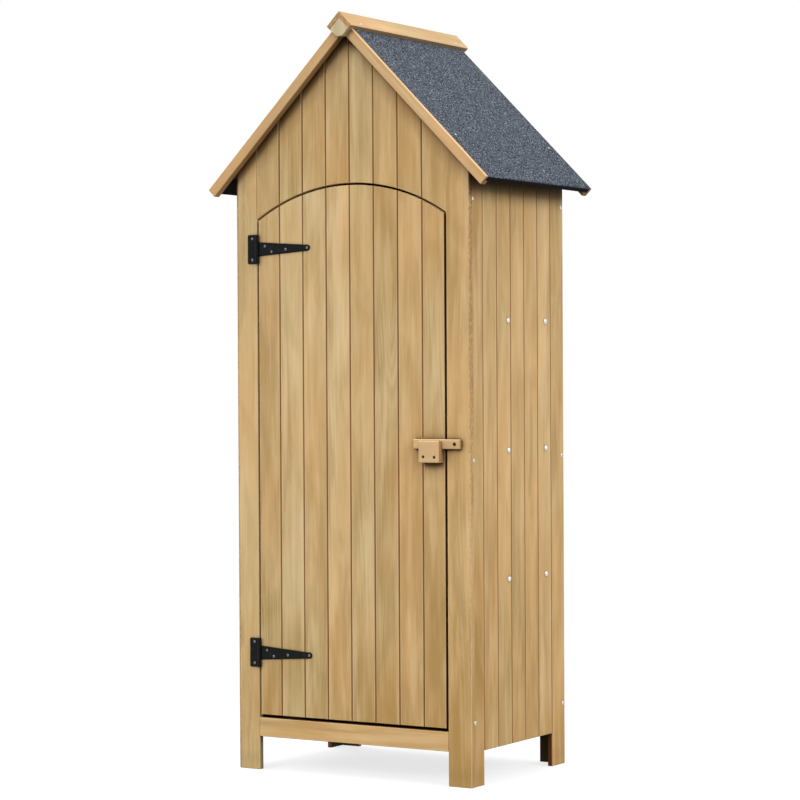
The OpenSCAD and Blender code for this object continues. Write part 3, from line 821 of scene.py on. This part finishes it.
def floor_boards():
    lo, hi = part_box("floor")
    place = placer(Z * hi.z, Y, -Z, X)
    joints = [lo.y + (hi.y - lo.y) * k / FLOOR_BOARDS for k in range(FLOOR_BOARDS + 1)]
    piece = boarding("floor_boards", place, joints, lambda u, d: (lo.x, hi.x), hi.z - lo.z)
    piece.finish(INNER_TIMBER, "shed", "floor")


def bearers_and_rails():
    for side in SIDES:
        box_bar(f"{side}_floor_bearer", "shed", (X, Z, Y), BAR_BEVEL)
        lo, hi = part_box(f"{side}_shelf_rails")
        piece = Piece(f"{side}_shelf_rail_bars")
        for z in RAIL_ZS:
            section = chamfered(lo.x, hi.x, z - RAIL_H / 2, z + RAIL_H / 2, BAR_BEVEL)
            piece.prism(placer(Vector(), X, Z, Y), section, lambda u, d: (lo.y, hi.y))
        piece.finish(INNER_TIMBER, "shed", f"{side}_shelf_rails")


# Roof

FELT_ROUND = 5.5 * MM
FELT_ROUND_STEPS = 6
FELT_BARE_FROM = 0.45 * FELT_ROUND
FELT_LAP_INSET = 0.5 * MM
STRIP_BEVEL = 0.4 * MM
STRIP_WORN_AND_LIT_W = WORN_AND_LIT_EDGE_W - 0.1 * MM
CAP_BEVEL = 1.2 * MM
BLOCK_BEVEL = 1.4 * MM


def slope_place(sign):
    """Turns (down the slope, below its outer plane, along the roof) into a point."""
    down = Vector((sign * math.cos(PITCH), 0, -math.sin(PITCH)))
    inward = Vector((-sign * math.sin(PITCH), 0, -math.cos(PITCH)))
    return placer(Z * APEX_Z, down, inward, Y)


def mitre(d):
    """Where the upright plane under the ridge cuts a layer at a depth below the slope."""
    return d * math.tan(PITCH)


def roof_boarding():
    top, bottom = FELT_T + LAYER_GAP, ROOF_T
    s_end = EAVE_S - FELT_T - LAYER_GAP
    for side, sign in SIDES.items():
        node = f"roof_{side}_board"
        lo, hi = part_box(node)
        piece = Piece(f"{node}s")
        for k in range(ROOF_BOARDS):
            s_lo, s_hi = s_end * k / ROOF_BOARDS, s_end * (k + 1) / ROOF_BOARDS
            section = [(s_hi, top), (s_hi, bottom - ROOF_GROOVE), (s_hi - ROOF_GROOVE, bottom)]
            if k == 0:
                section = [(mitre(top), top), *section, (mitre(bottom), bottom)]
            else:
                section = [(s_lo, top), *section, (s_lo + ROOF_GROOVE, bottom), (s_lo, bottom - ROOF_GROOVE)]
            piece.prism(slope_place(sign), section, lambda u, d: (lo.y, hi.y))
        piece.finish(INNER_TIMBER, "shed", node)


def felt_chain(deep, radius, reach, under):
    """Line of a felt face down the slope, round the eave, down its edge and back under it."""
    s_end = EAVE_S - deep
    turns = [math.pi / 2 * i / FELT_ROUND_STEPS for i in range(FELT_ROUND_STEPS + 1)]
    line = [(s, deep) for s in (mitre(deep), EAVE_S * 0.35, EAVE_S * 0.7)]
    line += [(s_end - radius + radius * math.sin(t), deep + radius - radius * math.cos(t)) for t in turns]
    if not under:
        return line + [(s_end, reach)]
    line += [(s_end - radius + radius * math.cos(t), reach - radius + radius * math.sin(t)) for t in turns]
    return line + [(EAVE_S - FELT_FOLD, reach)]


def felts():
    """Felt skins turned down over the eave and, between the battens, under it, that lap the back battens."""
    fold_out = ROOF_T + LAYER_GAP + FELT_T
    fold_in = fold_out - FELT_T
    fold_lo = ROOF_FRONT_Y + BARGE_T + LAYER_GAP
    fold_hi = ROOF_BACK_Y - BARGE_T - LAYER_GAP
    lap_end = EAVE_S - FELT_LAP_INSET
    lap = [(mitre(0), 0), (lap_end, 0), (lap_end, FELT_T), (mitre(FELT_T), FELT_T)]
    for side, sign in SIDES.items():
        node = f"roof_{side}_felt"
        lo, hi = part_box(node)
        piece = Piece(f"{node}_skin")
        place = slope_place(sign)
        strips = []
        for y_lo, y_hi, under in ((lo.y, fold_lo, False), (fold_lo, fold_hi, True), (fold_hi, hi.y, False)):
            outer = felt_chain(0.0, FELT_ROUND, fold_out if under else ROOF_T, under)
            inner = felt_chain(FELT_T, FELT_ROUND - FELT_T, fold_in if under else ROOF_T, under)
            strips.append((outer + inner[::-1], y_lo, y_hi))
        strips.append((lap, hi.y, ROOF_BACK_Y - FELT_LAP_INSET))
        for loop, y_lo, y_hi in strips:
            loop = turned_for(place, loop)
            bare = [float(d > FELT_BARE_FROM) for s, d in loop]
            piece.skin([[place(s, d, y) for s, d in loop] for y in (y_lo, y_hi)], bare)
        piece.finish(ROOF_FELT, "shed", node)


def barge_battens():
    """Battens on the gable edges, with a rebate under the boarding and the felt."""
    rebate = ROOF_T + LAYER_GAP
    under_felt = FELT_T + LAYER_GAP
    bevel = 1 * MM
    for end, edge, inward, top in (("front", ROOF_FRONT_Y, 1, 0), ("back", ROOF_BACK_Y, -1, under_felt)):
        # The narrow outer strip of the batten's top is pale, as wear and as a painted highlight along its
        # edge
        section = [(bevel, top), (bevel + STRIP_WORN_AND_LIT_W, top), (BARGE_STRIP - STRIP_BEVEL, top),
                   (BARGE_STRIP, top + STRIP_BEVEL), (BARGE_STRIP, rebate), (BARGE_T, rebate),
                   (BARGE_T, BARGE_H - bevel), (BARGE_T - bevel, BARGE_H), (bevel, BARGE_H),
                   (0, BARGE_H - bevel), (0, top + bevel)]
        for side, sign in SIDES.items():
            slope = slope_place(sign)
            piece = Piece(f"{end}_{side}_barge_batten")

            def place(u, d, l):
                return slope(l, d, edge + inward * u)

            piece.prism(place, section, lambda u, d: (mitre(d), EAVE_S), BATTEN_TONE, end_sawn=0.75)
            piece.finish(TRIM_TIMBER, "shed", f"{end}_{side}_barge")


def ridge():
    """Two cap boards mitred along the ridge, and the block that closes each end."""
    lower, upper = -LAYER_GAP, -CAP_T
    s_end = CAP_W - CAP_T * math.tan(PITCH)
    section = [(mitre(lower), lower), (mitre(upper), upper), (s_end - CAP_BEVEL, upper),
               (s_end, upper + CAP_BEVEL), (s_end, lower)]
    for side, sign in SIDES.items():
        node = f"ridge_cap_{side}"
        lo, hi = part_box(node)
        piece = Piece(f"{node}_board")
        piece.prism(slope_place(sign), section, lambda u, d: (lo.y, hi.y), CAP_SHADED_TONE, end_sawn=0.9)
        piece.finish(TRIM_TIMBER, "shed", node)

    for end, outward in (("front", -1), ("back", 1)):
        node = f"ridge_block_{end}"
        lo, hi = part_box(node)
        corner_x = hi.x
        corner_z = APEX_Z - corner_x * math.tan(PITCH)
        foot_x = corner_x - (corner_z - lo.z) * math.tan(PITCH)
        outline = [(0, APEX_Z), (-corner_x, corner_z), (-foot_x, lo.z), (foot_x, lo.z), (corner_x, corner_z)]
        base_y = hi.y if outward < 0 else lo.y
        place = placer(Y * base_y, X, Z, Y * outward)
        piece = Piece(f"{node}_pentagon")
        piece.plate(place, outline, hi.y - lo.y, BLOCK_BEVEL)
        piece.tint_whole(BLOCK_TONE)
        piece.finish(END_GRAIN, "shed", node)


# Screw heads, as shares of the radius and of the height

HEAD_PROFILE = ((1, 0), (1, 0.3), (0.86, 0.7), (0.62, 0.95), (0.45, 1), (0.4, 0.95))
SOCKET_PROFILE = ((0.4, 0.95), (0.25, 0.5), (0.02, 0.4))
SCREW_STEPS = 20
SCREW_HEAD_H = 1.3 * MM


def pan_screw(piece, origin, axis, radius, height=SCREW_HEAD_H):
    """A domed screw head with a driver socket in its middle, whose dark steel is painted shade in the
    recess.
    """
    for profile in (HEAD_PROFILE, SOCKET_PROFILE):
        first = len(piece.faces)
        piece.lathe(origin, axis, [(r * radius, h * height) for r, h in profile], SCREW_STEPS)
    piece.socket_shade_faces.update(range(first, len(piece.faces)))


# Hinges, with screws at (across, up) from the pin

KNUCKLE_R = 4.2 * MM
KNUCKLE_CLEARANCE = 0.3 * MM
KNUCKLE_GAP = 0.75 * MM
PIN_R = 2.4 * MM
PIN_INSET = 0.5 * MM
HINGE_X = low("upper_hinge_strap").x + KNUCKLE_R
HINGE_Y = FRONT_Y - KNUCKLE_R - KNUCKLE_CLEARANCE
HINGE_ZS = {"upper": 1245.5 * MM, "lower": 280.5 * MM}
IRON_T = 2 * MM
IRON_BEVEL = 0.5 * MM
PLATE_OVERLAP = 2 * MM
LEAF_W = 28 * MM
LEAF_H = 69 * MM
LEAF_CORNER_R = 3 * MM
LEAF_SCREWS = ((-15 * MM, 25.5 * MM), (-15 * MM, -25.5 * MM))
STRAP_L = 149.5 * MM
STRAP_ROOT_H = 33 * MM
STRAP_TIP_H = 13.5 * MM
STRAP_SCREWS = ((21 * MM, 6.5 * MM), (40.5 * MM, -7 * MM), (81 * MM, -2 * MM), (142 * MM, 0))
HINGE_SCREW_R = 3.2 * MM


def arc(centre, radius, start, stop, steps=5):
    angles = [math.radians(start + (stop - start) * i / steps) for i in range(steps + 1)]
    return [(centre[0] + radius * math.cos(a), centre[1] + radius * math.sin(a)) for a in angles]


def knuckle(piece, z_lo, z_hi):
    height = z_hi - z_lo
    inner_r = KNUCKLE_R - IRON_BEVEL
    profile = [(inner_r, 0), (KNUCKLE_R, IRON_BEVEL), (KNUCKLE_R, height - IRON_BEVEL), (inner_r, height)]
    piece.lathe(Vector((HINGE_X, HINGE_Y, z_lo)), Z, profile)


def hinge_screws(name, body, places, z):
    piece = Piece(name)
    for u, v in places:
        pan_screw(piece, Vector((HINGE_X + u, FRONT_Y - IRON_T, z + v)), -Y, HINGE_SCREW_R)
    piece.finish(BLACK_ZINC, body)


def hinges():
    """T-hinges: a leaf with two knuckles on the stile, and a tapered strap with one on the door."""
    half = LEAF_H / 2
    root = STRAP_ROOT_H / 2
    left, right = -LEAF_W, -PLATE_OVERLAP
    r = LEAF_CORNER_R
    leaf_outline = ([(right, -half), (right, half)] + arc((left + r, half - r), r, 90, 180)
                    + arc((left + r, -half + r), r, 180, 270))
    tip_r = STRAP_TIP_H / 2
    tip = arc((STRAP_L - tip_r, 0), tip_r, -86, 86, 12)
    strap_outline = [(PLATE_OVERLAP, -root)] + tip + [(PLATE_OVERLAP, root)]
    pin = [(PIN_R, 0), (PIN_R, LEAF_H - 2 * PIN_INSET)]
    for name, z in HINGE_ZS.items():
        place = placer(Vector((HINGE_X, FRONT_Y, z)), X, Z, -Y)

        leaf = Piece(f"{name}_hinge_leaf_iron")
        leaf.plate(place, leaf_outline, IRON_T, IRON_BEVEL)
        knuckle(leaf, z - half, z - root - KNUCKLE_GAP)
        knuckle(leaf, z + root + KNUCKLE_GAP, z + half)
        leaf.lathe(Vector((HINGE_X, HINGE_Y, z - half + PIN_INSET)), Z, pin)
        hinge_screws(f"{name}_hinge_leaf_screws", "shed", LEAF_SCREWS, z)
        leaf.finish(BLACK_IRON, "shed", f"{name}_hinge_leaf")

        strap = Piece(f"{name}_hinge_strap_iron")
        strap.plate(place, strap_outline, IRON_T, IRON_BEVEL)
        knuckle(strap, z - root, z + root)
        hinge_screws(f"{name}_hinge_strap_screws", "door", STRAP_SCREWS, z)
        strap.finish(BLACK_IRON, "door", f"{name}_hinge_strap")


# Latch, with screws at (up, across)

PIVOT_X = 287.5 * MM
PIVOT_Z = 785 * MM
PIVOT_R = 4.25 * MM
PIVOT_HEAD_H = 1.6 * MM
BAR_HOLE_R = 4.55 * MM
BAR_HOLE_DEPTH = 3.2 * MM
CATCH_SCREWS = ((755.8 * MM, 210.6 * MM), (755.1 * MM, 240.2 * MM))
CATCH_HOLE_R = 3.6 * MM
CATCH_HOLE_DEPTH = 3 * MM
CATCH_SCREW_R = 3.4 * MM
CATCH_SCREW_HEAD_H = 1.4 * MM
NOTCH_Z = 773.7 * MM
LIP_T = 10 * MM
LIP_BEVEL = 0.5 * MM
LATCH_BEVEL = 1.2 * MM


def bored_bar(name, node, section, tone, holes, radius, depth):
    """A piece of the latch along X, with sunk screw holes in the front of its node's box."""
    lo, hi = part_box(node)
    place = placer(Vector(), Z, Y, X)
    piece = Piece(name)
    corner = piece.prism(place, section, lambda u, d: (lo.x, hi.x), tone, end_sawn=0.8, open_at=lo.y)
    face_span = (lo.z + LATCH_BEVEL, hi.z - LATCH_BEVEL)
    piece.bored_face(corner, lo.y, face_span, (lo.x, hi.x), holes, radius, depth)
    return piece


def latch():
    """Notched block on the door, drop bar on the stile, and their sunk screws."""
    lo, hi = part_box("latch_catch")
    lip_y = lo.y + LIP_T
    section = [(lo.z + LATCH_BEVEL, lo.y), (hi.z - LATCH_BEVEL, lo.y), (hi.z, lo.y + LATCH_BEVEL),
               (hi.z, lip_y - LIP_BEVEL), (hi.z - LIP_BEVEL, lip_y), (NOTCH_Z, lip_y), (NOTCH_Z, hi.y),
               (lo.z, hi.y), (lo.z, lo.y + LATCH_BEVEL)]
    block = bored_bar("latch_catch_block", "latch_catch", section, CATCH_TONE,
                      CATCH_SCREWS, CATCH_HOLE_R, CATCH_HOLE_DEPTH)
    block.finish(TRIM_TIMBER, "door", "latch_catch")

    screws = Piece("latch_catch_screws")
    for z, x in CATCH_SCREWS:
        base = Vector((x, lo.y + CATCH_HOLE_DEPTH, z))
        pan_screw(screws, base, -Y, CATCH_SCREW_R, CATCH_SCREW_HEAD_H)
    screws.finish(DARK_STEEL, "door")

    lo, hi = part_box("latch_bar")
    section = chamfered(lo.z, hi.z, lo.y, hi.y, LATCH_BEVEL)
    bar = bored_bar("latch_bar_wood", "latch_bar", section, BAR_TONE,
                    [(PIVOT_Z, PIVOT_X)], BAR_HOLE_R, BAR_HOLE_DEPTH)
    bar.finish(TRIM_TIMBER, "latch", "latch_bar")

    pivot = Piece("latch_pivot_screw")
    base = Vector((PIVOT_X, lo.y + BAR_HOLE_DEPTH, PIVOT_Z))
    pan_screw(pivot, base, -Y, PIVOT_R, PIVOT_HEAD_H)
    pivot.finish(DARK_STEEL, "shed", "latch_pivot")


# Bolts, screws and nails

BOLT_YS = (-51 * MM, 130 * MM)
BOLT_R = 6.5 * MM
WASHER_T = 1.2 * MM
NUT_SIDES = 6
NAIL_STEPS = 16
SIDE_SCREW_ZS = (1346 * MM, 747 * MM, 147 * MM)
SIDE_SCREW_YS = (-212 * MM, 213 * MM)
SIDE_SCREW_R = 4.5 * MM
CAP_NAILS = (26.5 * MM, -CAP_T, (-215 * MM, 224 * MM))
FELT_NAILS = (400 * MM, 0, (-219 * MM, 228 * MM))


def side_fastenings():
    """Dome-headed bolts through the shelf rails with nuts inside, and screws along the corners."""
    dome = [(BOLT_R, 0), (BOLT_R, 0.9 * MM), (0.93 * BOLT_R, 1.9 * MM), (0.75 * BOLT_R, 3.0 * MM),
            (0.5 * BOLT_R, 3.7 * MM), (0.25 * BOLT_R, 4.1 * MM), (0.03 * BOLT_R, 4.2 * MM)]
    washer = [(8 * MM, 0), (8 * MM, 0.8 * MM), (7.6 * MM, WASHER_T)]
    nut = [(4.6 * MM, 0), (5.6 * MM, 0.5 * MM), (5.6 * MM, 4.2 * MM), (4.6 * MM, 4.7 * MM)]
    thread = [(3 * MM, 0), (3 * MM, 6.4 * MM), (2.5 * MM, 7 * MM)]
    for side, sign in SIDES.items():
        out = X * sign
        rail_x = low("right_shelf_rails").x * sign
        bolts = Piece(f"{side}_side_bolts")
        nuts = Piece(f"{side}_rail_nuts")
        for y in BOLT_YS:
            for z in RAIL_ZS:
                bolts.lathe(Vector((sign * OUTER_X, y, z)), out, dome)
                inner = Vector((rail_x, y, z))
                nuts.lathe(inner, -out, washer)
                nuts.lathe(inner - out * WASHER_T, -out, nut, NUT_SIDES)
                nuts.lathe(inner, -out, thread, NAIL_STEPS)
        bolts.finish(ZINC, "shed")
        nuts.finish(ZINC, "shed")
        screws = Piece(f"{side}_side_screws")
        for y in SIDE_SCREW_YS:
            for z in SIDE_SCREW_ZS:
                pan_screw(screws, Vector((sign * OUTER_X, y, z)), out, SIDE_SCREW_R)
        screws.finish(ZINC, "shed")


def roof_nails():
    head = [(3 * MM, 0), (3 * MM, 0.5 * MM), (2.4 * MM, 0.9 * MM), (0.1 * MM, 1.1 * MM)]
    nails = Piece("roof_nails")
    for sign in SIDES.values():
        place = slope_place(sign)
        out = place(0, -1, 0) - place(0, 0, 0)
        for s, d, ys in (CAP_NAILS, FELT_NAILS):
            for y in ys:
                nails.lathe(place(s, d, y), out, head, NAIL_STEPS)
    nails.finish(ZINC, "shed")


# Camera, floor and light

CAMERA_AT = Vector((3.31766, -5.40079, 0.95409))
CAMERA_YAW, CAMERA_PITCH, CAMERA_ROLL = 0.551512, -0.011243, -0.005292
FOCAL_PIXELS = 2623.95
IMAGE_PIXELS = 800
WHITE = (1, 1, 1, 1)
DOME_LIGHT = 1.25
DOME_HORIZON = 0.3 * DOME_LIGHT
DOME_RISE = 0.25
LAMP_SPREAD = math.radians(26)
LAMPS = (
    ("front_lamp", (-0.2, -0.83, 0.52), 1.5),
    ("side_lamp", (0.85, -0.1, 0.52), 1.4),
    ("left_lamp", (-0.8, 0.3, 0.52), 1.0),
)
STUDIO_HALF = 30
STUDIO_DROP = 0.5 * MM
STUDIO_GREYS = ((0.05, 0.05, 0.05, 1), (0.07, 0.07, 0.07, 1))
SHADOW_FADE = (0.4, 1.6)
PAPER_GLOW = (0.75, 1.0)


def camera():
    data = bpy.data.cameras.new("photo_camera")
    data.sensor_width = 36
    data.lens = data.sensor_width * FOCAL_PIXELS / IMAGE_PIXELS
    cam = add_to_scene("photo_camera", data)
    turn = Matrix.Translation(CAMERA_AT)
    for angle, axis in ((CAMERA_YAW, "Z"), (math.pi / 2 + CAMERA_PITCH, "X"), (CAMERA_ROLL, "Z")):
        turn = turn @ Matrix.Rotation(angle, 4, axis)
    cam.matrix_world = turn
    bpy.context.scene.camera = cam


def lamps():
    """Large far lamps, given by the directions that they stand in."""
    for name, direction, strength in LAMPS:
        data = bpy.data.lights.new(name, "SUN")
        data.angle = LAMP_SPREAD
        data.energy = strength
        lamp = add_to_scene(name, data)
        lamp.rotation_euler = Vector(direction).to_track_quat("Z", "Y").to_euler()


def seen_directly(g):
    """One for camera, mirror and glass rays, and none for the light that falls on the object."""
    path = g.node("ShaderNodeLightPath")
    total = path.outputs["Is Camera Ray"]
    for ray in ("Is Glossy Ray", "Is Transmission Ray"):
        total = g.math("MAXIMUM", total, path.outputs[ray])
    return total


def floor_paint():
    """Matt floor that the camera sees as paper white, with a faint shadow near the object."""
    material = bpy.data.materials.new("studio_floor_white")
    g = Graph(material)
    output = g.node("ShaderNodeOutputMaterial")
    place = g.place()
    away = g.node("ShaderNodeVectorMath", {0: place}, operation="LENGTH").outputs["Value"]
    speck = g.noise(place, 40, 2)
    matt = g.node("ShaderNodeBsdfDiffuse", {"Color": g.mix(speck, *STUDIO_GREYS)})
    paper = g.node("ShaderNodeBsdfDiffuse", {"Color": WHITE})
    glow = g.node("ShaderNodeEmission", {"Color": WHITE})
    share = g.remap(away, *SHADOW_FADE, *PAPER_GLOW)
    shown = g.shader_mix(share, paper, glow)
    mix = g.shader_mix(seen_directly(g), matt, shown)
    g.feed(output.inputs["Surface"], mix.outputs[0])
    return material


def studio():
    """White surroundings, a soft dome of light from above, and a pale floor."""
    world = bpy.data.worlds.new("white_studio")
    g = Graph(world)
    output = g.node("ShaderNodeOutputWorld")
    direction = g.node("ShaderNodeTexCoord").outputs["Generated"]
    height = g.node("ShaderNodeSeparateXYZ", {0: direction}).outputs["Z"]
    strength = g.remap(height, 0.0, DOME_RISE, DOME_HORIZON, DOME_LIGHT)
    dome = g.node("ShaderNodeBackground", {"Color": WHITE, "Strength": strength})
    seen = g.node("ShaderNodeBackground", {"Color": WHITE})
    mix = g.shader_mix(seen_directly(g), dome, seen)
    g.feed(output.inputs["Surface"], mix.outputs[0])
    bpy.context.scene.world = world

    mesh = bpy.data.meshes.new("studio_floor")
    corners = [(x * STUDIO_HALF, y * STUDIO_HALF, 0) for x, y in ((-1, -1), (1, -1), (1, 1), (-1, 1))]
    mesh.from_pydata(corners, [], [(0, 1, 2, 3)])
    ground = add_to_scene("studio_floor", mesh)
    ground.location.z = -STUDIO_DROP
    mesh.materials.append(floor_paint())


bpy.context.scene.view_settings.view_transform = "Standard"
front_stiles()
front_gable()
front_sill()
side_walls()
back_walls()
door()
posts()
floor_boards()
bearers_and_rails()
roof_boarding()
felts()
barge_battens()
ridge()
hinges()
latch()
side_fastenings()
roof_nails()
camera()
studio()
lamps()
